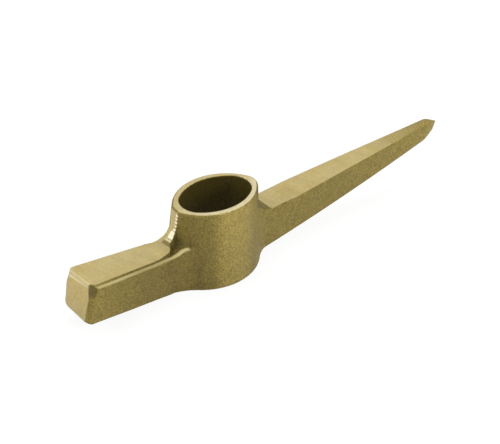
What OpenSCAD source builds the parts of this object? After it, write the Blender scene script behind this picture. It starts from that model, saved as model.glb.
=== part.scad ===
// Pick axe head in bronze: an oval handle socket with a square hammer arm on one side
// and a long pointed pick arm on the other, joined by gussets and dressed weld fillets.
// The socket stands on z = 0 with its axis on Z. The pick points to +X, the hammer to -X.

/* [Handle eye] */
// Length of the handle hole at the rim, along the head
eye_l = 60; // [56:0.5:64]
// Width of the handle hole at the rim, across the head
eye_w = 40; // [36:0.5:43]
// Radius of the two ends of the handle hole at the rim
eye_end_r = 15; // [13:0.5:17]
// Angle at which the hole widens from the rim down to the base
eye_draft = 1.5; // [0:0.1:2.5]
// Width of the small bevel at both mouths of the hole
eye_lead = 0.8; // [0.4:0.1:1.5]

/* [Socket] */
// Height of the socket from its base to its rim
socket_h = 64; // [59:0.5:72]
// Wall between the hole and the cheek at the rim
rim_wall = 5.4; // [4.5:0.1:6.5]
// Wall between the hole and the flat end strip at the rim
end_wall = 6.6; // [6:0.1:7.4]
// Radius of the two bulging cheeks at the rim, seen from above
cheek_r = 42; // [41:0.5:44]
// Angle at which the cheeks spread from the rim down to the base
cheek_flare = 4.6; // [4:0.1:5.5]
// Angle at which the end strips spread from the rim down to the base
strip_lean = 5.2; // [4:0.1:6]
// Bevel on the outer edge of the rim
rim_bevel = 1; // [0.3:0.1:1.5]
// Bevel on the outer edge of the base
base_bevel = 1; // [0.5:0.1:2.5]

/* [Hammer arm] */
// Distance from the eye's axis to the middle of the striking face
hammer_reach = 122; // [100:1:150]
// Width of the hammer arm
hammer_w = 30.4; // [26:0.2:34]
// Height of the hammer arm
hammer_h = 32.4; // [28:0.2:36]
// Angle at which the hammer arm rises towards its face
hammer_rise = 5.8; // [3:0.1:8]
// Bevel round the striking face
face_bevel = 3; // [2:0.1:4.5]
// Height of the ground top land over the bevelled edges beside it
land_step = 1; // [0.5:0.1:1.5]
// Distance from the arm's sides to the ground top land
land_inset = 3.2; // [2.8:0.1:4]
// Bevel on the upper long edges of the hammer arm
edge_bevel = 2.4; // [1:0.1:2.6]
// Bevel on the lower long edges of the hammer arm
under_bevel = 1.2; // [0.5:0.1:2.5]

/* [Pick arm] */
// Distance from the eye's axis to the point
pick_reach = 240.5; // [200:0.5:290]
// Width of the pick arm where it leaves the socket
pick_root_w = 24.8; // [21:0.1:28]
// Width of the pick arm where its point begins
pick_tip_w = 8.8; // [7:0.1:12]
// Height of the pick arm where it leaves the socket
pick_root_h = 32.8; // [29:0.1:35]
// Height of the pick arm where its point begins
pick_tip_h = 15.8; // [12:0.1:18]
// Height of the pick arm's top face over the base, where it leaves the socket
pick_top_z = 35.8; // [34:0.1:40]
// Angle at which the top face of the pick arm rises towards its point
pick_rise = 3.4; // [2:0.05:6]
// Height of the bow of the pick arm's underside
pick_belly = 1.4; // [0.5:0.1:3]
// Length of the point
point_l = 11; // [8:0.5:16]
// Depth of the point's tip below the top face
point_drop = 5; // [3:0.1:7]
// Distance by which the point's edge leans back from its tip to the underside
point_back = 5; // [2:0.1:6]

/* [Gussets and welds] */
// Height of the hammer arm's underside over the base, where it leaves the socket
arm_lift = 0.9; // [0.2:0.1:2]
// Radius of the hollow edge of the hammer arm's gusset, as a share of the socket's height over the arm
hammer_gusset_share = 0.48; // [0.4:0.01:0.8]
// Radius of the hollow edge of the pick arm's gusset, as a share of the socket's height over the arm
pick_gusset_share = 0.36; // [0.3:0.01:0.8]
// Radius of the hollow weld fillets beside the hammer arm
hammer_weld_r = 40; // [30:1:50]
// Radius of the hollow weld fillets beside the pick arm
pick_weld_r = 32; // [26:1:40]
// Depth by which a hollow bites in at its toes, so that each toe has a firm edge
weld_toe = 0.4; // [0.2:0.05:0.8]

/* [Hidden] */
$fn = 240;

FRONT = -1;
REAR = 1;
HAMMER = -1;
PICK = 1;

dressed_bronze = "#b39f68";
weld_bronze = "#a8935a";

// Depth by which a cutter runs past what it cuts
overrun = 5;
// Flat stretches that stand for the bow of the pick arm's underside
belly_steps = 20;

// The oval hole: two end arcs and two flank arcs that meet without a corner
eye_end_x = eye_l/2 - eye_end_r;
eye_flank_r = (pow(eye_end_x, 2) + pow(eye_w/2, 2) - pow(eye_end_r, 2))/(eye_w - 2*eye_end_r);
eye_flank_y = eye_flank_r - eye_w/2;
eye_spread = socket_h*tan(eye_draft);

// Each cheek is turned about an upright axis on the far side of the mid-plane
cheek_axis_y = cheek_r - eye_w/2 - rim_wall;
strip_x = eye_l/2 + end_wall;
head_w = 2*cheek_r_at(0);

// The arms, along themselves from where they leave the strip
hammer_l = (hammer_reach - strip_x + hammer_h/2*sin(hammer_rise))/cos(hammer_rise);
hammer_shoulder_h = hammer_h - land_step;
hammer_top_z = arm_lift + hammer_h/cos(hammer_rise);
pick_l = (pick_reach - strip_x)/cos(pick_rise);
pick_blade_l = pick_l - point_l;
pick_taper = (pick_root_w - pick_tip_w)/2/pick_blade_l;

hammer_gusset_r = hammer_gusset_share*(socket_h - hammer_top_z);
pick_gusset_r = pick_gusset_share*(socket_h - pick_top_z);
gusset_w = min(strip_w_at(socket_h), strip_w_at(hammer_top_z)) - 2*weld_toe;

// Shape of the socket at a height over the base
function cheek_r_at(z) = cheek_r + (socket_h - z)*tan(cheek_flare);
function strip_x_at(z) = strip_x + (socket_h - z)*tan(strip_lean);
function strip_w_at(z) = 2*(sqrt(pow(cheek_r_at(z), 2) - pow(strip_x_at(z), 2)) - cheek_axis_y);

// Underside of the pick arm, below its top face, at a share of its length
function belly_z(share) =
    -pick_root_h + (pick_root_h - pick_tip_h)*share - 4*pick_belly*share*(1 - share);

// Centre of a hollow fillet between a cheek and an arm's side, in plan at a height.
// The side is half_w from the mid-plane at the strip and closes in by taper per length.
function fillet_x(half_w, taper, r, z) =
    let (
        gap = r - weld_toe,
        a = half_w + strip_x*taper + gap*sqrt(1 + taper*taper) + cheek_axis_y,
        s = cheek_r_at(z) + gap
    )
    (a*taper + sqrt(pow(a*taper, 2) - (1 + taper*taper)*(a*a - s*s)))/(1 + taper*taper);
function fillet_y(half_w, taper, r, x) =
    half_w - (x - strip_x)*taper + (r - weld_toe)*sqrt(1 + taper*taper);

// Places a part that is drawn along its arm, with the arm's root at the origin
module hammer_frame() {
    translate([-strip_x, 0, arm_lift]) rotate([0, hammer_rise, 0]) children();
}

module pick_frame() {
    translate([strip_x, 0, pick_top_z]) rotate([0, -pick_rise, 0]) children();
}

// Extrudes an outline of length and height across the head
module across(w) {
    translate([0, w/2, 0]) rotate([90, 0, 0]) linear_extrude(w) children();
}

// Extrudes an outline of width and height along an arm
module along(from, to) {
    translate([from, 0, 0]) rotate([90, 0, 90]) linear_extrude(to - from) children();
}

// Extrudes a plan outline upwards past the rim and down past the base
module upright() {
    translate([0, 0, -socket_h]) linear_extrude(3*socket_h) children();
}

// Keeps what lies over the base
module over_base() {
    intersection() {
        children();
        linear_extrude(2*socket_h) square(2*(hammer_reach + pick_reach), center = true);
    }
}

// One cheek, turned about its axis, with the given bevels at the base and the rim
module cheek(side, base, rim) {
    translate([0, -side*cheek_axis_y, 0])
        rotate_extrude()
            polygon([
                [0, 0],
                [cheek_r_at(0) - base, 0],
                [cheek_r_at(base), base],
                [cheek_r_at(socket_h - rim), socket_h - rim],
                [cheek_r - rim, socket_h],
                [0, socket_h],
            ]);
}

// The socket without its hole
module socket_body(base = 0, rim = 0) {
    intersection() {
        cheek(FRONT, base, rim);
        cheek(REAR, base, rim);
        across(head_w)
            polygon([
                [-strip_x_at(0), 0],
                [strip_x_at(0), 0],
                [strip_x, socket_h],
                [-strip_x, socket_h],
            ]);
    }
}

// One round of the hole's outline, wider at the base and bevelled at both mouths
module eye_round(r) {
    base_r = r + eye_spread;
    rotate_extrude()
        polygon([
            [0, -overrun],
            [base_r + eye_lead, -overrun],
            [base_r + eye_lead, 0],
            [base_r, eye_lead],
            [r, socket_h - eye_lead],
            [r + eye_lead, socket_h],
            [r + eye_lead, socket_h + overrun],
            [0, socket_h + overrun],
        ]);
}

// The handle hole: two flanks, kept between the rays through the end centres, and two ends
module handle_eye() {
    ray = 2*eye_flank_r/eye_flank_y;
    flank_x = eye_end_x*(1 + ray);
    flank_y = eye_flank_y*ray;
    intersection() {
        translate([0, -eye_flank_y, 0]) eye_round(eye_flank_r);
        translate([0, eye_flank_y, 0]) eye_round(eye_flank_r);
        upright()
            polygon([
                [eye_end_x, 0], [flank_x, flank_y], [-flank_x, flank_y],
                [-eye_end_x, 0], [-flank_x, -flank_y], [flank_x, -flank_y],
            ]);
    }
    for (end = [HAMMER, PICK])
        translate([end*eye_end_x, 0, 0]) eye_round(eye_end_r);
}

// Section of the hammer arm: a square bar with a raised land ground along its top
module hammer_section() {
    half_w = hammer_w/2;
    right = [
        [half_w - under_bevel, 0],
        [half_w, under_bevel],
        [half_w, hammer_shoulder_h - edge_bevel],
        [half_w - edge_bevel, hammer_shoulder_h],
        [half_w - land_inset, hammer_shoulder_h],
        [half_w - land_inset, hammer_h],
    ];
    left = [for (i = [len(right) - 1:-1:0]) [-right[i].x, right[i].y]];
    polygon(concat(right, left));
}

// A bar's outline seen square on, of the given low and high edge, with the face's bevels
module faced_outline(low, high) {
    polygon([
        [strip_x, low],
        [strip_x, high],
        [-hammer_l + face_bevel, high],
        [-hammer_l, high - face_bevel],
        [-hammer_l, low + face_bevel],
        [-hammer_l + face_bevel, low],
    ]);
}

// The hammer arm seen from above, run on into the socket
module hammer_plan() {
    upright() faced_outline(-hammer_w/2, hammer_w/2);
}

module hammer_bar() {
    over_base() hammer_frame()
        intersection() {
            along(-hammer_l, strip_x/2) hammer_section();
            across(2*hammer_w) faced_outline(0, hammer_h);
            hammer_plan();
        }
}

// Side view of the pick arm: straight top, bowed underside and the point
module pick_outline() {
    bow = [
        for (i = [belly_steps:-1:0])
            [pick_blade_l*i/belly_steps, belly_z(i/belly_steps)]
    ];
    polygon(concat(
        [[-strip_x/2, 0], [pick_blade_l, 0], [pick_l, -point_drop]],
        [[pick_l - point_back, -pick_tip_h]],
        bow,
        [[-strip_x/2, -pick_root_h]]
    ));
}

// The pick arm seen from above, run on into the socket
module pick_plan() {
    root_w = pick_root_w + strip_x*pick_taper;
    upright()
        polygon([
            [-strip_x/2, root_w/2], [pick_blade_l, pick_tip_w/2], [pick_l, 0],
            [pick_blade_l, -pick_tip_w/2], [-strip_x/2, -root_w/2],
        ]);
}

module pick_bar() {
    over_base() pick_frame()
        intersection() {
            across(2*pick_root_w) pick_outline();
            pick_plan();
        }
}

// A hollow-edged web in the corner between an end strip and an arm's top face.
// The face passes the strip at top_z and rises outwards.
module gusset(end, top_z, rise, r) {
    gap = r - weld_toe;
    strip_side = strip_x_at(0)*cos(strip_lean) + gap;
    top_side = top_z*cos(rise) - strip_x*sin(rise) + gap;
    x = (strip_side*cos(rise) - top_side*sin(strip_lean))/cos(strip_lean - rise);
    z = (top_side*cos(strip_lean) + strip_side*sin(rise))/cos(strip_lean - rise);
    strip_foot = [x - gap*cos(strip_lean), z - gap*sin(strip_lean)];
    top_foot = [x + gap*sin(rise), z - gap*cos(rise)];
    across(gusset_w)
        mirror([end == HAMMER ? 1 : 0, 0])
            difference() {
                polygon([
                    strip_foot, top_foot,
                    [top_foot.x, top_foot.y - overrun],
                    [strip_foot.x - overrun, top_foot.y - overrun],
                    [strip_foot.x - overrun, strip_foot.y],
                ]);
                translate([x, z]) circle(r);
            }
}

// A hollow fillet that fills the corner between one side of an arm and a cheek.
// Its children are the arm's height zone, as wide as the head.
module weld(end, side, half_w, taper, r) {
    mid_z = pick_top_z/2;
    low_x = fillet_x(half_w, taper, r, 0);
    mid_x = fillet_x(half_w, taper, r, mid_z);
    lean = atan((low_x - mid_x)/mid_z);
    y = fillet_y(half_w, taper, r, mid_x);
    cheek_share = cheek_r_at(mid_z)/(cheek_r_at(mid_z) + r - weld_toe);
    cheek_foot = [mid_x*cheek_share, (y + cheek_axis_y)*cheek_share - cheek_axis_y];
    arm_foot = [mid_x, y - r + weld_toe];
    difference() {
        intersection() {
            over_base() children();
            upright()
                scale([end, side])
                    polygon([arm_foot, cheek_foot, [cheek_foot.x, 0], [arm_foot.x, 0]]);
        }
        socket_body();
        translate([end*mid_x, side*y, mid_z])
            rotate([0, -end*lean, 0])
                cylinder(h = 3*socket_h, r = r, center = true);
    }
}

module hammer_weld(side) {
    color(weld_bronze)
        difference() {
            weld(HAMMER, side, hammer_w/2, 0, hammer_weld_r)
                hammer_frame()
                    across(head_w) faced_outline(under_bevel, hammer_shoulder_h - edge_bevel);
            hammer_frame() hammer_plan();
        }
}

module pick_weld(side) {
    color(weld_bronze)
        difference() {
            weld(PICK, side, pick_root_w/2, pick_taper, pick_weld_r)
                pick_frame() across(head_w) pick_outline();
            pick_frame() pick_plan();
        }
}

module eye_socket() {
    color(dressed_bronze)
        difference() {
            socket_body(base_bevel, rim_bevel);
            handle_eye();
        }
}

module hammer_arm() {
    color(dressed_bronze)
        difference() {
            hammer_bar();
            socket_body();
        }
}

module pick_arm() {
    color(dressed_bronze)
        difference() {
            pick_bar();
            socket_body();
        }
}

module hammer_gusset() {
    color(weld_bronze)
        difference() {
            gusset(HAMMER, hammer_top_z, hammer_rise, hammer_gusset_r);
            socket_body();
            hammer_bar();
        }
}

module pick_gusset() {
    color(weld_bronze)
        difference() {
            gusset(PICK, pick_top_z, pick_rise, pick_gusset_r);
            socket_body();
            pick_bar();
        }
}

eye_socket();
hammer_arm();
pick_arm();
hammer_gusset();
pick_gusset();
hammer_weld(FRONT);  // hammer_front_weld
hammer_weld(REAR);  // hammer_rear_weld
pick_weld(FRONT);  // pick_front_weld
pick_weld(REAR);  // pick_rear_weld
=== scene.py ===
"""A bare pick axe head in bronze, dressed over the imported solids.

The visible skin is worked out as one field, so the pieces meet without a seam, and is
then cut into one closed piece for each solid. Lengths are millimetres until a mesh is made.
"""
import math

import bpy
import numpy as np
from mathutils import Matrix, Vector


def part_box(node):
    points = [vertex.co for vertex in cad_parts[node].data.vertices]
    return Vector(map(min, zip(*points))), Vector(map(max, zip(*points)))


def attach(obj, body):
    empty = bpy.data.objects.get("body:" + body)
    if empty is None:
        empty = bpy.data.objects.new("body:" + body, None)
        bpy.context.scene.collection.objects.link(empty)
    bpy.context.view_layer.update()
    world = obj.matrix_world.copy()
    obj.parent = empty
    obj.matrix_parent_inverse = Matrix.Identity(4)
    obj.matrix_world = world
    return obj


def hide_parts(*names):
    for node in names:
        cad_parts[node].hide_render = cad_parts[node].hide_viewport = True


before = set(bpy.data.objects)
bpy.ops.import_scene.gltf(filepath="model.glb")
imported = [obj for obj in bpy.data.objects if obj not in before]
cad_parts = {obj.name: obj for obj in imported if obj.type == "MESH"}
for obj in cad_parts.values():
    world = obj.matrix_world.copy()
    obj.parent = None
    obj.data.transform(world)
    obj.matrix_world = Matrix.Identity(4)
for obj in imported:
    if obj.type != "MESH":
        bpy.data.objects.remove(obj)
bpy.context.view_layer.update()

MM = 0.001

# Socket.
SOCKET_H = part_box("eye_socket")[1].z / MM
CHEEK_R = 42.0
CHEEK_AXIS_Y = 16.6
CHEEK_FLARE = math.radians(4.3)
STRIP_X = 36.6
STRIP_LEAN = math.radians(6.2)
STRIP_TURN = 0.16
PICK_STRIP_OUT = 0.9
RIM_EDGE = 1.9
BASE_EDGE = 1.0

# Eye: an oval of two flank arcs and two end arcs.
EYE_END_X = 15.0
EYE_END_R = 15.0
EYE_FLANK_Y = 20.0
EYE_FLANK_R = 40.0
EYE_DRAFT = math.radians(1.5)
EYE_EDGE = 0.7

# A run is a list of smooth steps: how much is gained, and from where to where.

# Hammer arm, in a frame at the top of its root.
HAMMER_TOP_Z = 33.0
HAMMER_RISE = math.radians(6.5)
HAMMER_LOW_Z = -1.2
HAMMER_LOW_RISE = math.radians(7.35)
HAMMER_OUT = 84.55
HAMMER_MID = -16.0
HAMMER_ROOT_HALF = 12.15
HAMMER_FLARE = 0.0387
SHOULDER_R = 2.2
UNDER_R = 1.4
HAMMER_JOIN_R = 8.0
HAMMER_JOIN_RUN = [(-2.5, -10.0, 2.0)]
LEDGE_JOIN_R = 4.5

# How far the shoulder lies under the ground top, by distance out: at the root it climbs the cheek.
LAND_STEP = 2.1
LAND_STEP_RUN = [(-0.8, 100.0, 66.0), (-1.2, 66.0, 46.0), (-5.0, 48.0, 32.0)]

# Half widths of the ground ribbon on the hammer, by distance out: it narrows to its strip.
RIBBON_FRONT = 3.0
RIBBON_FRONT_RUN = [(1.0, 38.5, 43.0), (5.4, 43.5, 49.0)]
RIBBON_FRONT_SPREAD = 3.5
RIBBON_REAR = 5.4
RIBBON_REAR_RUN = [(6.4, 42.0, 57.0)]
RIBBON_REAR_SPREAD = 0.8
RIBBON_SPREAD_X = 54.0
RIBBON_SPREAD_L = 58.0
RIBBON_DEPTH = 16.0
RIBBON_EDGE = 0.5

# The hammer's end.
FACE_LEAN = math.radians(3.2)
FACE_SKEW = 0.10
FACE_BEVEL = 3.3
FACE_EDGE = 1.0
TOP_BEVEL = 3.2
TOP_BEVEL_TURN = 0.05
TOP_BEVEL_RUN = 0.22
TOP_BEVEL_EDGE = 0.25
CORNER_BEVEL_FRONT = 1.7
CORNER_BEVEL_REAR = 2.2
CORNER_R_FRONT = 5.0
CORNER_R_REAR = 7.0

# Pick arm, in a frame at the top of its root.
PICK_TOP_Z = 36.66
PICK_RISE = math.radians(3.2)
PICK_L = 204.6
POINT_L = 12.0
BLADE_L = PICK_L - POINT_L
PICK_ROOT_HALF = 12.9
PICK_TIP_HALF = 4.4
PICK_TAPER = (PICK_ROOT_HALF - PICK_TIP_HALF) / BLADE_L
PICK_ROOT_H = 33.2
PICK_TIP_H = 15.0
PICK_BELLY = 2.2
PICK_EDGE_R = 0.9
PICK_EDGE_RUN = [(1.3, 90.0, 190.0), (1.6, 44.0, 14.0)]
POINT_DROP = 4.9
POINT_BACK = 4.2
POINT_FOOT = 14.9
POINT_EDGE = 1.3
PICK_JOIN_R = 6.8
PICK_JOIN_RUN = [(-2.0, -16.0, -30.0)]
PICK_ROOT_SPREAD = 4.9
PICK_END_EDGE = 2.5

# Ground coves from the end strips down to the tops of the arms.
HAMMER_GUSSET_R = 20.0
PICK_GUSSET_R = 7.2
HAMMER_GUSSET_HALF = 3.3
PICK_GUSSET_HALF = 2.0
GUSSET_DEPTH = 2.0

# How far the welds reach into the arms and the cheeks, and stay under the tops of the arms.
WELD_ARM_DEPTH = 2.9
WELD_CHEEK_DEPTH = 1.2
HAMMER_WELD_DROP = 2.6
PICK_WELD_DROP = 1.5

# Marks of grinding.
CHATTER_PITCH = 2.75
CHATTER_DEPTH = 0.2
CUT_PITCH = 2.9
DRESSED_LAP = 0.35

# Grid that the skin is traced on: runs of start, end and step along x, and one each for y and z.
LATTICE_X = [
    (-126.3, -114.0, 0.8),
    (-114.0, -62.0, 1.6),
    (-62.0, -34.0, 0.65),
    (-34.0, 33.0, 1.0),
    (33.0, 58.0, 0.8),
    (58.0, 216.0, 2.2),
    (216.0, 245.0, 0.7),
]
LATTICE_Y = (-32.37, 32.5, 0.78)
LATTICE_Z = (-2.69, 66.0, 0.76)
HALVINGS = 9
CENTRE_PULL = 0.02

# How far out, or in where negative, the skin is felt for hollows, creases, coves and worn edges.
HOLLOW_REACH = 5.0
CREASE_REACH = 2.4
COVE_REACH = 26.0
WORN_REACH = -1.1

# How far in from a corner its normal is read, as a share of the way to the middle of its face.
# Under this cosine between the two, the face's own normal takes its place.
PROBE_SHARE = 0.15
ASTRAY_COS = 0.6

# A point inside each piece that its open borders are closed to.
SEATS = {
    "hammer_gusset": [(-36.5, 0.0, 27.0)],
    "pick_gusset": [(36.5, 0.0, 29.0)],
    "hammer_front_weld": [(-37.0, -11.0, 16.0)],
    "hammer_rear_weld": [(-37.0, 11.0, 16.0)],
    "pick_front_weld": [(37.0, -9.0, 18.0)],
    "pick_rear_weld": [(37.0, 9.0, 18.0)],
    "hammer_arm": [(-44.0, 0.0, 17.0)],
    "pick_arm": [(44.0, 0.0, 18.0)],
    "eye_socket": [(-35.5, 0.0, 17.0), (35.5, 0.0, 18.0)],
}

BLASTED = (0.335, 0.253, 0.057, 1)
CHEEK_SHEEN_TINT = (0.335, 0.256, 0.068, 1)
GROUND = (0.440, 0.355, 0.150, 1)
GROUND_WARM = (0.415, 0.318, 0.114, 1)
LEDGE = (0.570, 0.480, 0.225, 1)
RIM_HIGHLIGHT = (0.580, 0.505, 0.292, 1)
GLINT_COLOUR = (0.900, 0.830, 0.600, 1)
CREASE = (0.110, 0.080, 0.020, 1)
BORE_SHADE = (0.090, 0.066, 0.012, 1)

# Tone of the blasted finish along x, as painted light: a sheen on the cheeks and shade by the
# hammer's cove.
PAINTED_LIGHT_ALONG_X = [
    (-112.0, 0.75),
    (-75.0, 0.57),
    (-45.0, 0.52),
    (-36.0, 0.63),
    (-29.0, 0.60),
    (-20.0, 0.68),
    (-11.0, 1.03),
    (0.0, 1.0),
    (11.0, 0.88),
    (20.0, 0.65),
    (40.0, 0.66),
    (120.0, 0.63),
    (230.0, 0.74),
]

# Tone along x of the painted shade beside the ground ribbon and at the root of the pick.
NOOK = [(-112.0, 0.45), (-90.0, 0.55), (-76.0, 0.85), (-62.0, 0.80), (-52.0, 0.63), (50.0, 0.63)]

# Strength along x of the painted highlight on the hammer's ledge.
LEDGE_HIGHLIGHT_ALONG_X = [(-112.0, 0.85), (-95.0, 0.90), (-75.0, 0.52), (-56.0, 0.58), (-42.0, 1.0), (-30.0, 1.0)]


def round_meet(a, b, r):
    """What is inside both fields, with the shared edge rounded."""
    near = np.hypot(np.maximum(r + a, 0), np.maximum(r + b, 0))
    return np.minimum(-r, np.maximum(a, b)) + near


def round_join(a, b, r):
    """What is inside either field, with the shared corner filled."""
    near = np.hypot(np.maximum(r - a, 0), np.maximum(r - b, 0))
    return np.maximum(r, np.minimum(a, b)) - near


def ramp(value, start, end):
    """Rises smoothly from 0 at start to 1 at end; start may be the larger of the two."""
    t = np.clip((value - start) / (end - start), 0, 1)
    return t * t * (3 - 2 * t)


def grow(base, run, value):
    """A base and the smooth steps of a run."""
    for gain, start, end in run:
        base = base + gain * ramp(value, start, end)
    return base


def lens_field(x, y, z):
    """The two cheeks."""
    radius = CHEEK_R + (SOCKET_H - z) * math.tan(CHEEK_FLARE)
    return (np.hypot(x, np.abs(y) + CHEEK_AXIS_Y) - radius) * math.cos(CHEEK_FLARE)


def strip_field(x, y, z):
    """The two leaning end strips. The hammer's was ground a little askew."""
    out = np.where(x < 0, STRIP_TURN * y - x, x - PICK_STRIP_OUT)
    return (out - STRIP_X - (SOCKET_H - z) * math.tan(STRIP_LEAN)) * math.cos(STRIP_LEAN)


def eye_field(x, y, z):
    """The tapered oval hole."""
    ax = np.abs(x)
    ay = np.abs(y)
    end = np.hypot(ax - EYE_END_X, ay) - EYE_END_R
    flank = np.hypot(ax, ay + EYE_FLANK_Y) - EYE_FLANK_R
    at_end = (ax - EYE_END_X) * EYE_FLANK_Y > ay * EYE_END_X
    return np.where(at_end, end, flank) - (SOCKET_H - z) * math.tan(EYE_DRAFT)


def ribbon_field(ax, y):
    """Side of the ground ribbon on the hammer."""
    front = grow(RIBBON_FRONT, RIBBON_FRONT_RUN, ax)
    rear = grow(RIBBON_REAR, RIBBON_REAR_RUN, ax)
    spread = np.clip((ax - RIBBON_SPREAD_X) / RIBBON_SPREAD_L, 0, 1.1)
    in_front = -y - front - RIBBON_FRONT_SPREAD * spread
    behind = y - rear - RIBBON_REAR_SPREAD * spread
    return np.where(y < 0, in_front, behind)


def chatter(y, z):
    """Scallops left by grinding, deepest along the front edge of the hammer's strip."""
    wave = 0.5 + 0.5 * np.cos(2 * math.pi * (z + 0.12 * y) / CHATTER_PITCH)
    along = ramp(z, 36.0, 44.0) * (1 - 0.7 * ramp(z, 50.0, 60.0))
    return CHATTER_DEPTH * wave * along * (0.12 + 0.88 * ramp(y, 1.0, -3.0))


def hammer_form(x, y, z, lens, strip):
    """The hammer's side of the head and the fields that it is made of."""
    ax = np.abs(x)
    u = x + STRIP_X
    v = z - HAMMER_TOP_Z
    out = v * math.sin(HAMMER_RISE) - u * math.cos(HAMMER_RISE)
    top = u * math.sin(HAMMER_RISE) + v * math.cos(HAMMER_RISE)
    low = -u * math.sin(HAMMER_LOW_RISE) - (z - HAMMER_LOW_Z) * math.cos(HAMMER_LOW_RISE)
    flare_cos = math.cos(math.atan(HAMMER_FLARE))
    side = (np.abs(y) - HAMMER_ROOT_HALF + HAMMER_FLARE * u) * flare_cos
    shoulder = top + grow(LAND_STEP, LAND_STEP_RUN, ax)

    # The bar, its fillets to the cheeks and the ground ribbon on it.
    bar = np.maximum(round_meet(side, shoulder, SHOULDER_R), round_meet(side, low, UNDER_R))
    wall = round_join(lens, side, grow(HAMMER_JOIN_R, HAMMER_JOIN_RUN, top))
    fill = np.maximum(round_meet(wall, shoulder, SHOULDER_R), round_meet(wall, low, UNDER_R))
    joined = np.minimum(round_join(lens, bar, LEDGE_JOIN_R), fill)
    ground = round_join(top, strip + chatter(y, z), HAMMER_GUSSET_R)
    beside = ribbon_field(ax, y)
    ribbon = np.maximum(beside, np.maximum(ground, np.abs(top) - RIBBON_DEPTH))

    # The end and its bevels.
    skew = FACE_SKEW * ramp(top, -26.0, -2.0)
    lean = (top - HAMMER_MID) * math.tan(FACE_LEAN)
    end = (out - HAMMER_OUT + lean - skew * y) * math.cos(FACE_LEAN)
    top_bevel = end + TOP_BEVEL_RUN * (top + TOP_BEVEL + TOP_BEVEL_TURN * y)
    top_bevel = top_bevel * math.cos(math.atan(TOP_BEVEL_RUN))
    corner_bevel = np.where(y > 0, CORNER_BEVEL_REAR, CORNER_BEVEL_FRONT) * ramp(top, -14.0, -1.0)
    corner_r = np.where(y > 0, CORNER_R_REAR, CORNER_R_FRONT)
    side_bevel = end + round_meet(side, low, corner_r) + (FACE_BEVEL + corner_bevel)
    side_bevel = side_bevel * math.sqrt(0.5)
    face = round_meet(end, top_bevel, TOP_BEVEL_EDGE)

    skin = round_join(joined, ribbon, RIBBON_EDGE)
    skin = round_meet(skin, round_meet(face, side_bevel, FACE_EDGE), FACE_EDGE)
    return {
        "skin": np.maximum(skin, ground),
        "top": top,
        "side": side,
        "shoulder": shoulder,
        "wall": wall,
        "ground": ground,
        "beside": beside,
        "end": end,
        "top_bevel": top_bevel,
        "side_bevel": side_bevel,
    }


def pick_depth(share):
    """Height of the pick at a share of its blade."""
    straight = PICK_ROOT_H + (PICK_TIP_H - PICK_ROOT_H) * share
    return straight + 4 * PICK_BELLY * share * (1 - share)


def point_field(out, ay, top):
    """The pick's point: two sides that meet in a leaning edge, under a sloping top."""
    back = PICK_L - out
    below = -top - POINT_DROP
    side_run = PICK_TIP_HALF / POINT_L
    top_run = POINT_DROP / POINT_L
    lean_run = POINT_BACK / (POINT_FOOT - POINT_DROP)
    sides = (ay - side_run * (back - lean_run * below)) * math.cos(math.atan(side_run))
    over = (-below - top_run * back) * math.cos(math.atan(top_run))
    return round_meet(over, sides, POINT_EDGE)


def pick_form(x, y, z, lens, strip):
    """The pick's side of the head and the fields that it is made of."""
    ay = np.abs(y)
    u = x - STRIP_X
    v = z - PICK_TOP_Z
    out = u * math.cos(PICK_RISE) + v * math.sin(PICK_RISE)
    top = v * math.cos(PICK_RISE) - u * math.sin(PICK_RISE)
    low = -top - pick_depth(out / BLADE_L)
    side = (ay - PICK_ROOT_HALF + PICK_TAPER * u) * math.cos(math.atan(PICK_TAPER))
    edge_r = grow(PICK_EDGE_R, PICK_EDGE_RUN, out)
    bar = np.maximum(round_meet(side, top, edge_r), round_meet(side, low, UNDER_R))
    spread = PICK_ROOT_SPREAD + 0.3 * np.clip(ay, 0, 8) + 0.9 * np.clip(ay - 8.0, 0, 4)
    root_r = grow(PICK_JOIN_R, PICK_JOIN_RUN, top)
    root_r = root_r + spread * ramp(top, -3.0, 0.5) * ramp(ay, 18.0, 12.0)
    joined = round_join(round_meet(lens, strip, PICK_END_EDGE), bar, root_r)
    return {
        "skin": round_meet(joined, point_field(out, ay, top), POINT_EDGE),
        "out": out,
        "top": top,
        "side": side,
        "edge_r": edge_r,
    }


def forms(p):
    """The whole skin and the fields that it is made of."""
    x, y, z = p[:, 0], p[:, 1], p[:, 2]
    lens = lens_field(x, y, z)
    strip = strip_field(x, y, z)
    eye = eye_field(x, y, z)
    hammer = hammer_form(x, y, z, lens, strip)
    pick = pick_form(x, y, z, lens, strip)
    skin = np.where(x < 0, hammer["skin"], pick["skin"])
    skin = round_meet(skin, z - SOCKET_H, RIM_EDGE)
    skin = round_meet(skin, -z, BASE_EDGE)
    skin = round_meet(skin, -eye, EYE_EDGE)
    return {"skin": skin, "lens": lens, "strip": strip, "eye": eye, "hammer": hammer, "pick": pick}


def skin_at(p):
    """The field of the whole skin, below 0 inside."""
    return forms(p)["skin"]


def slope_at(p, step=0.01):
    """Unit normals of the skin's field."""
    signs = np.array([(1, 1, 1), (1, -1, -1), (-1, 1, -1), (-1, -1, 1)], float)
    grad = sum(skin_at(p + step * s)[:, None] * s for s in signs)
    return grad / np.maximum(np.linalg.norm(grad, axis=1), 1e-9)[:, None]


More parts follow.
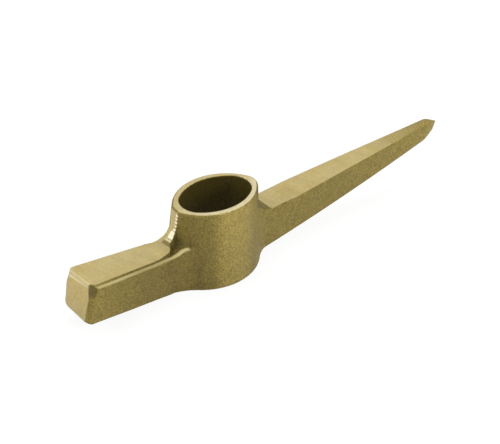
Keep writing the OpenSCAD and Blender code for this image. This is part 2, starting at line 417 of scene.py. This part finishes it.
def cut_fields(p):
    """The fields that part the skin into gussets, welds, socket and arms."""
    form = forms(p)
    lens = form["lens"]
    strip = form["strip"]
    left = p[:, 0] < 0
    top = np.where(left, form["hammer"]["top"], form["pick"]["top"])
    side = np.where(left, form["hammer"]["side"], form["pick"]["side"])

    half = np.where(left, HAMMER_GUSSET_HALF, PICK_GUSSET_HALF)
    cove_r = np.where(left, HAMMER_GUSSET_R, PICK_GUSSET_R)
    gusset = np.maximum(np.abs(p[:, 1]) - half, np.maximum(strip, top) - cove_r)
    gusset = np.maximum(gusset, np.maximum(-strip, -top) - GUSSET_DEPTH)

    join_r = np.where(left, HAMMER_JOIN_R, PICK_JOIN_R)
    weld = np.maximum(-side - WELD_ARM_DEPTH, -lens - WELD_CHEEK_DEPTH)
    weld = np.maximum(np.maximum(lens, side) - join_r, weld)
    weld = np.maximum(weld, top + np.where(left, HAMMER_WELD_DROP, PICK_WELD_DROP))
    return {"gusset": gusset, "weld": weld, "lens": lens}


def strip_marks(ax, y, z, edge):
    """Painted highlights on the cuts along the hammer's strip, and the dull band at the foot of
    its cove.
    """
    cuts = ramp(np.cos(2 * math.pi * z / CUT_PITCH), -0.6, 0.5)
    patch = 0.85 * ramp(z, 50.0, 46.0)
    rear_limit = 1.6 - 2.6 * ramp(z, 45.0, 50.0)
    front = ramp(rear_limit - y, -0.3, 0.3) * ramp(edge, 0.8, 0.2)
    spark = front * np.maximum(cuts, patch) * ramp(ax, 43.0, 42.2)
    chip = 0.6 * ramp(np.abs(ax - 43.7), 0.5, 0.15) * ramp(y, 2.6, 1.6) * ramp(z, 43.0, 42.0)
    dull = ramp(np.abs(ax - 45.6), 1.6, 0.7) * ramp(y, 4.0, 2.0)
    return np.maximum(spark, chip), dull


def end_lines(y, hammer):
    """Painted highlights along the edges of the hammer's end."""
    end = hammer["end"]
    top_bevel = hammer["top_bevel"]
    face = ramp(np.minimum(end, top_bevel), -0.20, -0.10)
    land = ramp(np.minimum(hammer["ground"], top_bevel), -0.75, -0.35)
    side = ramp(np.minimum(end, hammer["side_bevel"]), -0.75, -0.35) * ramp(y, 0.0, -2.0)
    bevel = ramp(top_bevel, -0.2, -0.1)
    face_tone = 0.25 + 0.27 * ramp(y, -6.0, 8.0)
    return np.max([face_tone * face, 0.32 * land, 0.15 * bevel, 0.14 * side], axis=0)


def hammer_finish(x, y, z, lens, hammer):
    """Where the hammer's side is ground and dull, and where its highlights and shade are painted.
    """
    ax = np.abs(x)
    end = hammer["end"]
    shoulder = hammer["shoulder"]
    side_bevel = hammer["side_bevel"]
    land = hammer["ground"] + DRESSED_LAP * ramp(end, -5.0, -2.5)
    dressed = np.maximum(land, np.maximum(end, hammer["top_bevel"]) + DRESSED_LAP)

    # The ledge along the hammer's front top edge, which gets a painted highlight.
    low = -1.7 - 0.7 * ramp(ax, 46.0, 41.0)
    band = ramp(shoulder, low, low + 1.0) * ramp(shoulder, 0.4, -0.1) * ramp(lens, 0.8, 1.6)
    band = band * ramp(side_bevel, -0.2, -1.0) * ramp(hammer["wall"], -2.5, -1.5)

    # Painted shade beside the ground ribbon.
    nook = ramp(shoulder, -0.3, 0.5) * ramp(shoulder, 9.0, 1.5) * ramp(ax, 28.0, 34.0)
    nook = nook * ramp(hammer["beside"], 0.2, 1.5)

    on_ground = ramp(hammer["ground"], -0.5, -0.2)
    spark, scuff = strip_marks(ax, y, z, np.minimum(lens, hammer["beside"]))
    spark = np.maximum(spark * on_ground, end_lines(y, hammer))
    # Painted shade on the upper part of the side bevels of the hammer's end.
    dark_corner = ramp(side_bevel, -0.5, -0.1) * ramp(hammer["top"], -13.0, -7.0)
    scuff = np.maximum(scuff * on_ground, dark_corner)
    return {"dressed": dressed, "band": band, "nook": nook, "spark": spark, "scuff": scuff}


def pick_finish(x, y, lens, strip, pick):
    """Where the pick's side is ground, and where shade is painted at its root."""
    top = pick["top"]
    flat = 0.25 * pick["edge_r"] * ramp(pick["out"], 20.0, 40.0) - np.abs(top)
    flat = np.minimum(flat, -pick["side"] - 0.2)
    dressed = np.where(top > 8.0, strip, np.minimum(flat, lens - 2.0))
    # Painted shade at the root of the pick, beside its strip.
    nook = ramp(top - 0.8 * np.maximum(43.5 - x, 0), -0.6, 0.8)
    nook = nook * ramp(30.7 - 0.45 * x - np.abs(y), -1.0, 0.5)
    nook = nook * ramp(x, 22.0, 28.0) * ramp(x, 51.0, 48.5)
    return {"dressed": dressed, "nook": nook}


def felt(p, normals, reach):
    """0 on open ground, up to 1 where the skin turns back within reach."""
    return np.clip(1 - skin_at(p + reach * normals) / reach, 0, 1)


def finish_at(p, normals):
    """The masks that the bronze reads."""
    x, y, z = p[:, 0], p[:, 1], p[:, 2]
    form = forms(p)
    hammer = hammer_finish(x, y, z, form["lens"], form["hammer"])
    pick = pick_finish(x, y, form["lens"], form["strip"], form["pick"])
    marks = {key: np.where(x < 0, value, pick.get(key, 0.0)) for key, value in hammer.items()}
    dressed = np.maximum(marks.pop("dressed"), z - SOCKET_H)
    marks["ground"] = ramp(dressed, -0.14, -0.05)
    marks["bore"] = ramp(form["eye"], 0.5, 0.12)
    # Masks for painted shade in hollows, creases and wide coves.
    marks["hollow"] = felt(p, normals, HOLLOW_REACH)
    marks["crease"] = felt(p, normals, CREASE_REACH)
    marks["cove"] = felt(p, normals, COVE_REACH)
    marks["worn"] = felt(p, normals, WORN_REACH)
    return marks


def lattice():
    """Grid lines, closer together where the shape is finer."""
    xs = [np.linspace(a, b, int(round((b - a) / s)), endpoint=False) for a, b, s in LATTICE_X]
    return np.concatenate(xs), np.arange(*LATTICE_Y), np.arange(*LATTICE_Z)


def warp(p):
    """Bends the lattice along the arms, so that their long edges run with its lines."""
    x, y, z = p[..., 0], p[..., 1], p[..., 2]
    left = np.maximum(-x - STRIP_X, 0)
    right = np.maximum(x - STRIP_X, 0)
    slim = 1 - right * PICK_TAPER / PICK_ROOT_HALF + left * HAMMER_FLARE / HAMMER_ROOT_HALF
    shallow = pick_depth(np.minimum(right / BLADE_L, 1)) / PICK_ROOT_H
    top = PICK_TOP_Z + right * math.tan(PICK_RISE)
    bent = np.where(x > 0, top + (z - PICK_TOP_Z) * shallow, z + left * math.tan(HAMMER_RISE))
    return np.stack([x, y * slim, bent], axis=-1)


def sample_grid(axes):
    """True where a point of the lattice is inside the skin."""
    grid = np.empty(tuple(len(a) for a in axes), bool)
    flat_y, flat_z = np.meshgrid(axes[1], axes[2], indexing="ij")
    for i, x in enumerate(axes[0]):
        row = np.stack([np.full(flat_y.size, x), flat_y.ravel(), flat_z.ravel()], axis=1)
        grid[i] = skin_at(warp(row)).reshape(flat_y.shape) < 0
    return grid


def crossings_along(axis, axes, solid):
    """Where the skin crosses the lattice's edges along one axis, and the four cells round each."""
    head = [slice(None)] * 3
    tail = [slice(None)] * 3
    head[axis] = slice(0, -1)
    tail[axis] = slice(1, None)
    hit = np.argwhere(solid[tuple(head)] != solid[tuple(tail)])
    low = np.stack([axes[k][hit[:, k]] for k in range(3)], axis=1)
    high = low.copy()
    high[:, axis] = axes[axis][hit[:, axis] + 1]
    low = warp(low)
    high = warp(high)
    inside_low = solid[tuple(hit.T)]
    for _ in range(HALVINGS):
        middle = (low + high) / 2
        same = (skin_at(middle) < 0) == inside_low
        low[same] = middle[same]
        high[~same] = middle[~same]

    others = [k for k in range(3) if k != axis]
    ring = []
    for da, db in ((-1, -1), (0, -1), (0, 0), (-1, 0)):
        cell = hit.copy()
        cell[:, others[0]] += da
        cell[:, others[1]] += db
        ring.append(np.ravel_multi_index(cell.T, solid.shape))
    ring = np.stack(ring, axis=1)
    flip = inside_low if axis != 1 else ~inside_low
    ring[~flip] = ring[~flip][:, ::-1]
    return (low + high) / 2, ring


def trace_skin():
    """Dual contouring of the skin's field: points and four-sided faces."""
    axes = lattice()
    solid = sample_grid(axes)
    crossed = [crossings_along(axis, axes, solid) for axis in range(3)]
    points = np.concatenate([c[0] for c in crossed])
    rings = np.concatenate([c[1] for c in crossed])
    normals = slope_at(points)
    ids, index = np.unique(rings.ravel(), return_inverse=True)
    index = index.reshape(rings.shape)
    count = len(ids)
    where = index.ravel()
    p4 = np.repeat(points, 4, axis=0)
    n4 = np.repeat(normals, 4, axis=0)
    total = np.bincount(where, minlength=count).astype(float)
    middle = np.stack([np.bincount(where, p4[:, k], count) for k in range(3)], axis=1)
    middle = middle / total[:, None]

    # Each cell's point is the one nearest to the planes of the crossings round it.
    reach = np.einsum("ij,ij->i", n4, p4 - middle[where])
    matrix = np.zeros((count, 3, 3))
    rhs = np.zeros((count, 3))
    for a in range(3):
        rhs[:, a] = np.bincount(where, n4[:, a] * reach, count)
        for b in range(3):
            matrix[:, a, b] = np.bincount(where, n4[:, a] * n4[:, b], count)
    matrix += CENTRE_PULL * np.eye(3)
    shift = np.linalg.solve(matrix, rhs[:, :, None])[:, :, 0]

    corner = np.stack(np.unravel_index(ids, solid.shape), axis=1)
    ends = []
    for step in np.ndindex(2, 2, 2):
        spot = np.minimum(corner + step, np.array(solid.shape) - 1)
        ends.append(warp(np.stack([axes[k][spot[:, k]] for k in range(3)], axis=1)))
    return np.clip(middle + shift, np.min(ends, axis=0), np.max(ends, axis=0)), index


class Skin:
    """A growing list of points, and the cutting of faces along a field."""

    def __init__(self, points):
        self.points = points
        self.extra = []
        self.count = len(points)

    def all_points(self):
        if self.extra:
            self.points = np.concatenate([self.points, np.array(self.extra)])
            self.extra = []
        return self.points

    def cut(self, faces, name, snap=0.1):
        """Parts faces into those inside the named field and those outside it."""
        points = self.all_points()
        value = cut_fields(points)[name]
        value = np.where(np.abs(value) < snap, 0.0, value)
        made = {}
        inside, outside = [], []
        for face in faces:
            marks = [value[i] for i in face]
            if max(marks) <= 0:
                inside.append(face)
            elif min(marks) >= 0:
                outside.append(face)
            else:
                self.cut_face(face, value, points, made, inside, outside)
        return inside, outside

    def cut_face(self, face, value, points, made, inside, outside):
        """Parts one face where the field changes sign; a cut edge is shared by its two faces."""
        parts = ([], [])
        for a, b in zip(face, face[1:] + face[:1]):
            if value[a] <= 0:
                parts[0].append(a)
            if value[a] >= 0:
                parts[1].append(a)
            if value[a] * value[b] < 0:
                key = (min(a, b), max(a, b))
                if key not in made:
                    share = value[key[0]] / (value[key[0]] - value[key[1]])
                    self.extra.append(points[key[0]] * (1 - share) + points[key[1]] * share)
                    made[key] = self.count
                    self.count += 1
                parts[0].append(made[key])
                parts[1].append(made[key])
        for part, kept in zip(parts, (inside, outside)):
            if len(part) > 2:
                kept.append(part)


def border_loops(faces):
    """Closed runs of edges that only one face uses, each in the order that closes the hole."""
    owned = set()
    for face in faces:
        owned.update(zip(face, face[1:] + face[:1]))
    follow = {}
    for a, b in owned:
        if (b, a) not in owned:
            follow.setdefault(b, []).append(a)
    loops = []
    while follow:
        start = next(iter(follow))
        loop = [start]
        here = follow[start].pop()
        if not follow[start]:
            del follow[start]
        while here != start:
            loop.append(here)
            ahead = follow[here].pop()
            if not follow[here]:
                del follow[here]
            here = ahead
        loops.append(loop)
    return loops


def face_normals(spots, place, starts):
    """Unit normals of faces, from the cross product of their diagonals."""
    first = spots[place[starts[:-1]]]
    second = spots[place[starts[:-1] + 1]]
    third = spots[place[starts[:-1] + 2]]
    last = spots[place[starts[1:] - 1]]
    normal = np.cross(third - first, last - second)
    return normal / np.maximum(np.linalg.norm(normal, axis=1), 1e-9)[:, None]


def make_piece(name, skin, faces, seats):
    """One closed mesh from faces of the skin; each border is closed to its nearest seat inside."""
    points = skin.all_points()
    used, place = np.unique(np.concatenate(faces), return_inverse=True)
    sizes = np.array([len(f) for f in faces])
    starts = np.concatenate([[0], np.cumsum(sizes)])
    local = [tuple(place[starts[i]:starts[i + 1]]) for i in range(len(faces))]
    spots = points[used]

    # Normals and masks are read a little way in from each corner, to stay on its face.
    owner = np.repeat(np.arange(len(faces)), sizes)
    centres = np.stack([np.bincount(owner, spots[place, k]) for k in range(3)], axis=1)
    centres = centres / sizes[:, None]
    probe = spots[place] + PROBE_SHARE * (centres[owner] - spots[place])
    normals = slope_at(probe)
    flat = face_normals(spots, place, starts)[owner]
    astray = np.einsum("ij,ij->i", normals, flat) < ASTRAY_COS
    normals[astray] = flat[astray]
    finish = finish_at(probe, normals)

    caps = []
    spots = [tuple(s) for s in spots]
    for loop in border_loops([list(f) for f in local]):
        middle = np.mean([spots[i] for i in loop], axis=0)
        seat = min(seats, key=lambda s: np.linalg.norm(np.array(s) - middle))
        tip = len(spots)
        spots.append(tuple(seat))
        caps += [(a, b, tip) for a, b in zip(loop, loop[1:] + loop[:1])]

    mesh = bpy.data.meshes.new(name)
    mesh.from_pydata([tuple(c * MM for c in s) for s in spots], [], local + caps)
    mesh.polygons.foreach_set("use_smooth", [True] * len(local) + [False] * len(caps))
    hidden = np.zeros(3 * len(caps))
    for key, value in finish.items():
        layer = mesh.attributes.new(key, "FLOAT", "CORNER")
        layer.data.foreach_set("value", np.concatenate([value, hidden]).astype(np.float32))
    corner_normals = [tuple(n) for n in normals] + [(0.0, 0.0, 0.0)] * (3 * len(caps))
    mesh.normals_split_custom_set(corner_normals)
    piece = bpy.data.objects.new(name, mesh)
    bpy.context.scene.collection.objects.link(piece)
    return piece


class Nodes:
    """Short calls for building a node tree."""

    def __init__(self, tree):
        self.tree = tree
        tree.nodes.clear()

    def add(self, kind, inputs=None, **settings):
        node = self.tree.nodes.new(kind)
        for key, value in settings.items():
            setattr(node, key, value)
        for key, value in (inputs or {}).items():
            self.feed(node.inputs[key], value)
        return node

    def feed(self, socket, value):
        if isinstance(value, bpy.types.NodeSocket):
            self.tree.links.new(value, socket)
        elif socket.type == "VECTOR":
            socket.default_value = value[:3]
        else:
            socket.default_value = value

    def math(self, operation, a, b=0.0):
        return self.add("ShaderNodeMath", {0: a, 1: b}, operation=operation).outputs[0]

    def times(self, tone, *others):
        for other in others:
            tone = self.math("MULTIPLY", tone, other)
        return tone

    def mix(self, share, a, b):
        node = self.add("ShaderNodeMix", data_type="RGBA")
        self.feed(node.inputs["Factor"], share)
        self.feed(node.inputs[6], a)
        self.feed(node.inputs[7], b)
        return node.outputs[2]

    def blend(self, share, a, b):
        node = self.add("ShaderNodeMix", data_type="FLOAT")
        self.feed(node.inputs["Factor"], share)
        self.feed(node.inputs[2], a)
        self.feed(node.inputs[3], b)
        return node.outputs[0]

    def noise(self, vector, scale, detail=3.0, rough=0.55):
        inputs = {"Vector": vector, "Scale": scale, "Detail": detail, "Roughness": rough}
        return self.add("ShaderNodeTexNoise", inputs).outputs["Fac"]

    def span(self, value, low, high, start=0.0, end=1.0):
        inputs = {0: value, 1: low, 2: high, 3: start, 4: end}
        return self.add("ShaderNodeMapRange", inputs, clamp=True).outputs[0]

    def scale(self, colour, tone):
        node = self.add("ShaderNodeVectorMath", {0: colour, "Scale": tone}, operation="SCALE")
        return node.outputs[0]

    def follow(self, value, stops):
        """A tone that passes through the given pairs of position and tone."""
        first = stops[0][0]
        reach = stops[-1][0] - first
        node = self.add("ShaderNodeValToRGB", {0: self.span(value, first, first + reach)})
        elements = node.color_ramp.elements
        while len(elements) < len(stops):
            elements.new(1.0)
        for element, (spot, tone) in zip(elements, stops):
            element.position = (spot - first) / reach
            element.color = (tone, tone, tone, 1.0)
        return node.outputs[0]

    def mask(self, name):
        return self.add("ShaderNodeAttribute", attribute_name=name).outputs["Fac"]


def bronze(name):
    """Cast bronze: blasted sides, ground tops and brighter worn edges, with painted sheen,
    highlights and shade; the bore is painted dark as shade.
    """
    material = bpy.data.materials.new(name)
    material.use_nodes = True
    n = Nodes(material.node_tree)
    place = n.add("ShaderNodeTexCoord").outputs["Object"]
    mm = n.scale(place, 1.0 / MM)
    turned = {"Vector": mm, "Rotation": (0.0, 0.0, 0.35), "Scale": (1.0, 9.0, 3.0)}
    streaks = n.add("ShaderNodeMapping", turned, vector_type="TEXTURE").outputs[0]
    axes = n.add("ShaderNodeSeparateXYZ", {0: mm}).outputs
    x, y, z = axes["X"], axes["Y"], axes["Z"]
    across = n.math("ABSOLUTE", x)
    broad = n.noise(mm, 0.045, 4.0)
    patch = n.noise(mm, 0.20, 4.0, 0.6)
    speckle = n.noise(mm, 0.75, 3.0, 0.7)
    grain = n.noise(mm, 1.9, 4.0, 0.65)
    marks = n.noise(streaks, 0.9, 4.0, 0.6)
    sweeps = n.noise(streaks, 0.16, 2.0, 0.5)
    bore = n.mask("bore")

    # The grinding fades out towards the tip of the pick.
    ground = n.times(n.mask("ground"), n.span(x, 160.0, 226.0, 1.0, 0.1))

    # Blasted sides, with painted shade low on the socket and in hollows, and a painted highlight
    # on the ledge.
    near_socket = n.span(across, 28.0, 42.0, 1.0, 0.0)
    hollow = n.span(n.mask("hollow"), 0.05, 0.50, 1.0, 0.80)
    # Painted shade beside the ribbon and at the pick's root, with its tone along x.
    nook = n.blend(n.mask("nook"), 1.0, n.follow(x, NOOK))
    tone = n.times(
        n.span(patch, 0.30, 0.70, 0.90, 1.10),
        n.span(speckle, 0.30, 0.70, 0.55, 1.45),
        # Painted sheen and shade along x.
        n.follow(x, PAINTED_LIGHT_ALONG_X),
        # Painted shade, darker towards the bottom of the socket.
        n.blend(near_socket, 1.0, n.span(z, 5.0, 56.0, 0.82, 1.0)),
        # Painted shade in wide coves.
        n.span(n.mask("cove"), 0.30, 0.90, 1.0, 0.85),
        # Painted shade in hollows, beside the ribbon and at the pick's root.
        n.math("MINIMUM", hollow, nook),
    )
    # The cheeks take a greyer tint under their painted sheen.
    cast = n.scale(n.mix(n.span(across, 10.0, 24.0, 1.0, 0.0), BLASTED, CHEEK_SHEEN_TINT), tone)
    # Painted highlight on the hammer's ledge.
    cast = n.mix(n.times(n.mask("band"), n.follow(x, LEDGE_HIGHLIGHT_ALONG_X)), cast, LEDGE)

    # Ground tops, with a painted highlight on the front of the rim.
    rim = n.times(
        n.span(x, -33.0, -24.0, 0.5, 1.0),
        n.span(y, -6.0, 8.0, 1.0, 0.2),
        n.span(z, SOCKET_H - 0.9, SOCKET_H - 0.2),
    )
    cut = n.mix(n.span(broad, 0.40, 0.68), GROUND, GROUND_WARM)
    cut = n.mix(rim, cut, RIM_HIGHLIGHT)
    on_hammer = n.span(x, -46.0, -38.0, 1.0, 0.0)
    on_face = n.span(x, -116.0, -113.0, 1.0, 0.0)
    shine = n.times(
        n.span(marks, 0.30, 0.70, 0.90, 1.10),
        n.span(speckle, 0.30, 0.70, 0.86, 1.14),
        n.span(sweeps, 0.32, 0.68, 0.965, 1.035),
        n.blend(on_hammer, 1.0, n.span(x, -80.0, -50.0, 1.0, 0.92)),
        # Painted light on the hammer's end face: darker low, lighter high.
        n.blend(on_face, 1.0, n.span(z, 14.0, 42.0, 0.85, 1.06)),
    )
    colour = n.mix(ground, cast, n.scale(cut, shine))

    # Wear on the edges, painted shade in creases, painted highlights on marks of grinding, and
    # painted shade in the bore.
    rub = n.times(
        n.span(n.mask("worn"), 0.20, 0.80),
        n.span(patch, 0.35, 0.60, 0.0, 0.35),
        n.span(x, 40.0, 120.0, 1.0, 0.25),
    )
    colour = n.mix(rub, colour, GROUND)
    # Painted shade in creases.
    colour = n.mix(n.span(n.mask("crease"), 0.25, 0.65, 0.0, 0.10), colour, CREASE)
    # The dull band, and painted shade on the side bevels of the hammer's end.
    colour = n.mix(n.times(n.mask("scuff"), 0.7), colour, CREASE)
    # Painted highlights on the hammer's strip and end.
    colour = n.mix(n.mask("spark"), colour, GLINT_COLOUR)
    # Painted shade in the bore, darker deep down.
    depth = n.times(
        n.span(z, 18.0, 60.0, 0.60, 1.25),
        n.span(speckle, 0.30, 0.70, 0.55, 1.45),
    )
    colour = n.mix(bore, colour, n.scale(BORE_SHADE, depth))

    blasted_rough = n.span(grain, 0.3, 0.7, 0.52, 0.68)
    ground_rough = n.span(marks, 0.3, 0.7, 0.32, 0.48)
    sides = n.times(n.math("SUBTRACT", 1.0, ground), n.math("ADD", grain, speckle))
    tops = n.times(ground, n.times(marks, 0.35))
    relief = {"Strength": 0.6, "Distance": 0.0003, "Height": n.math("ADD", sides, tops)}
    inputs = {
        "Base Color": colour,
        "Metallic": n.blend(bore, 0.45, 0.70),
        "Roughness": n.blend(ground, blasted_rough, ground_rough),
        "Specular IOR Level": 0.4,
        "Normal": n.add("ShaderNodeBump", relief).outputs[0],
    }
    shader = n.add("ShaderNodeBsdfPrincipled", inputs)
    n.add("ShaderNodeOutputMaterial", {"Surface": shader.outputs[0]})
    return material


def slot_of(node):
    """The material slot of a node, which its bronze is named after."""
    if node == "eye_socket":
        return "socket_bronze"
    return "arm_bronze" if node.endswith("arm") else "weld_bronze"


def build_head():
    """Traces the skin, cuts it along the solids' own lines and dresses each node."""
    points, quads = trace_skin()
    skin = Skin(points)
    gussets, rest = skin.cut(quads.tolist(), "gusset")
    welds, rest = skin.cut(rest, "weld")
    socket, arms = skin.cut(rest, "lens")
    faces = {node: [] for node in SEATS}
    faces["eye_socket"] = socket
    spots = skin.all_points()
    for group, label in ((gussets, "gusset"), (welds, "weld"), (arms, "arm")):
        for face in group:
            middle = spots[face].mean(axis=0)
            end = "hammer" if middle[0] < 0 else "pick"
            side = ("front_" if middle[1] < 0 else "rear_") if label == "weld" else ""
            faces[f"{end}_{side}{label}"].append(face)

    finishes = {slot: bronze(slot) for slot in ("socket_bronze", "arm_bronze", "weld_bronze")}
    for node, group in faces.items():
        piece = make_piece(f"{node}_skin", skin, group, SEATS[node])
        slot = slot_of(node)
        piece.data.materials.append(finishes[slot])
        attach(piece, "root")
        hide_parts(node)


def build_camera():
    """The photograph's view, fitted to the outline of the head."""
    azimuth = math.radians(42.087)
    lift = math.radians(35.502)
    roll = math.radians(3.482)
    focal_px = 1200.0
    frame_px = 500.0
    sensor = 36.0
    distance = 878.126
    slide = (-25.288, 19.906)
    pivot = Vector((0.0, 0.0, 63.0))
    right = Vector((math.cos(azimuth), -math.sin(azimuth), 0.0))
    back = Vector((
        -math.sin(azimuth) * math.cos(lift),
        -math.cos(azimuth) * math.cos(lift),
        math.sin(lift),
    ))
    up = back.cross(right)
    right_r = right * math.cos(roll) + up * math.sin(roll)
    up_r = up * math.cos(roll) - right * math.sin(roll)
    eye = pivot - right_r * slide[0] - up_r * slide[1] + back * distance
    data = bpy.data.cameras.new("camera")
    data.sensor_fit = "HORIZONTAL"
    data.sensor_width = sensor
    data.lens = sensor * focal_px / frame_px
    data.clip_start = 0.01
    camera = bpy.data.objects.new("camera", data)
    turn = Matrix((right_r, up_r, back)).transposed().to_4x4()
    camera.matrix_world = Matrix.Translation(eye * MM) @ turn
    bpy.context.scene.collection.objects.link(camera)
    bpy.context.scene.camera = camera


def viewer_rays(n):
    """1 for the camera, for reflections and for what is seen through, and 0 for other rays."""
    path = n.add("ShaderNodeLightPath")
    seen = n.math("MAXIMUM", path.outputs["Is Camera Ray"], path.outputs["Is Glossy Ray"])
    return n.math("MAXIMUM", seen, path.outputs["Is Transmission Ray"])


def build_floor():
    """A white floor that keeps a faint shadow near the head."""
    half = 3.0
    drop = -0.0003
    mesh = bpy.data.meshes.new("floor")
    corners = [(-half, -half, drop), (half, -half, drop), (half, half, drop), (-half, half, drop)]
    mesh.from_pydata(corners, [], [(0, 1, 2, 3)])
    floor = bpy.data.objects.new("floor", mesh)
    bpy.context.scene.collection.objects.link(floor)
    material = bpy.data.materials.new("floor_white")
    material.use_nodes = True
    n = Nodes(material.node_tree)
    matt = n.add("ShaderNodeBsdfDiffuse", {"Color": (0.85, 0.85, 0.85, 1)})
    glow = n.add("ShaderNodeEmission", {"Color": (1, 1, 1, 1), "Strength": 1.03})
    place = n.add("ShaderNodeTexCoord").outputs["Object"]
    away = n.add("ShaderNodeVectorMath", {0: place}, operation="LENGTH").outputs["Value"]
    share = n.times(viewer_rays(n), n.span(away, 0.35, 0.9, 0.86, 1.0))
    both = n.add("ShaderNodeMixShader", {0: share, 1: matt.outputs[0], 2: glow.outputs[0]})
    n.add("ShaderNodeOutputMaterial", {"Surface": both.outputs[0]})
    mesh.materials.append(material)


def build_light():
    """A white world and soft lamps, each aimed at the head."""
    world = bpy.data.worlds.new("studio")
    bpy.context.scene.world = world
    world.use_nodes = True
    n = Nodes(world.node_tree)
    strength = n.blend(viewer_rays(n), 0.35, 1.0)
    sky = n.add("ShaderNodeBackground", {"Color": (1, 1, 1, 1), "Strength": strength})
    n.add("ShaderNodeOutputWorld", {"Surface": sky.outputs[0]})

    aim = Vector((0.05, 0.0, 0.03))
    lamps = [
        ("key", (0.65, -0.80, 0.60), 0.4, 10.8),
        ("top", (-0.10, 0.30, 1.20), 0.8, 7.5),
        ("fill", (-0.95, 0.45, 0.55), 0.5, 8.0),
    ]
    for name, spot, size, power in lamps:
        data = bpy.data.lights.new(name, "AREA")
        data.shape = "DISK"
        data.size = size
        data.energy = power
        lamp = bpy.data.objects.new(name, data)
        lamp.visible_glossy = False
        lamp.location = spot
        lamp.rotation_euler = (aim - Vector(spot)).to_track_quat("-Z", "Y").to_euler()
        bpy.context.scene.collection.objects.link(lamp)


build_camera()
build_floor()
build_light()
build_head()
bpy.context.scene.view_settings.view_transform = "Standard"
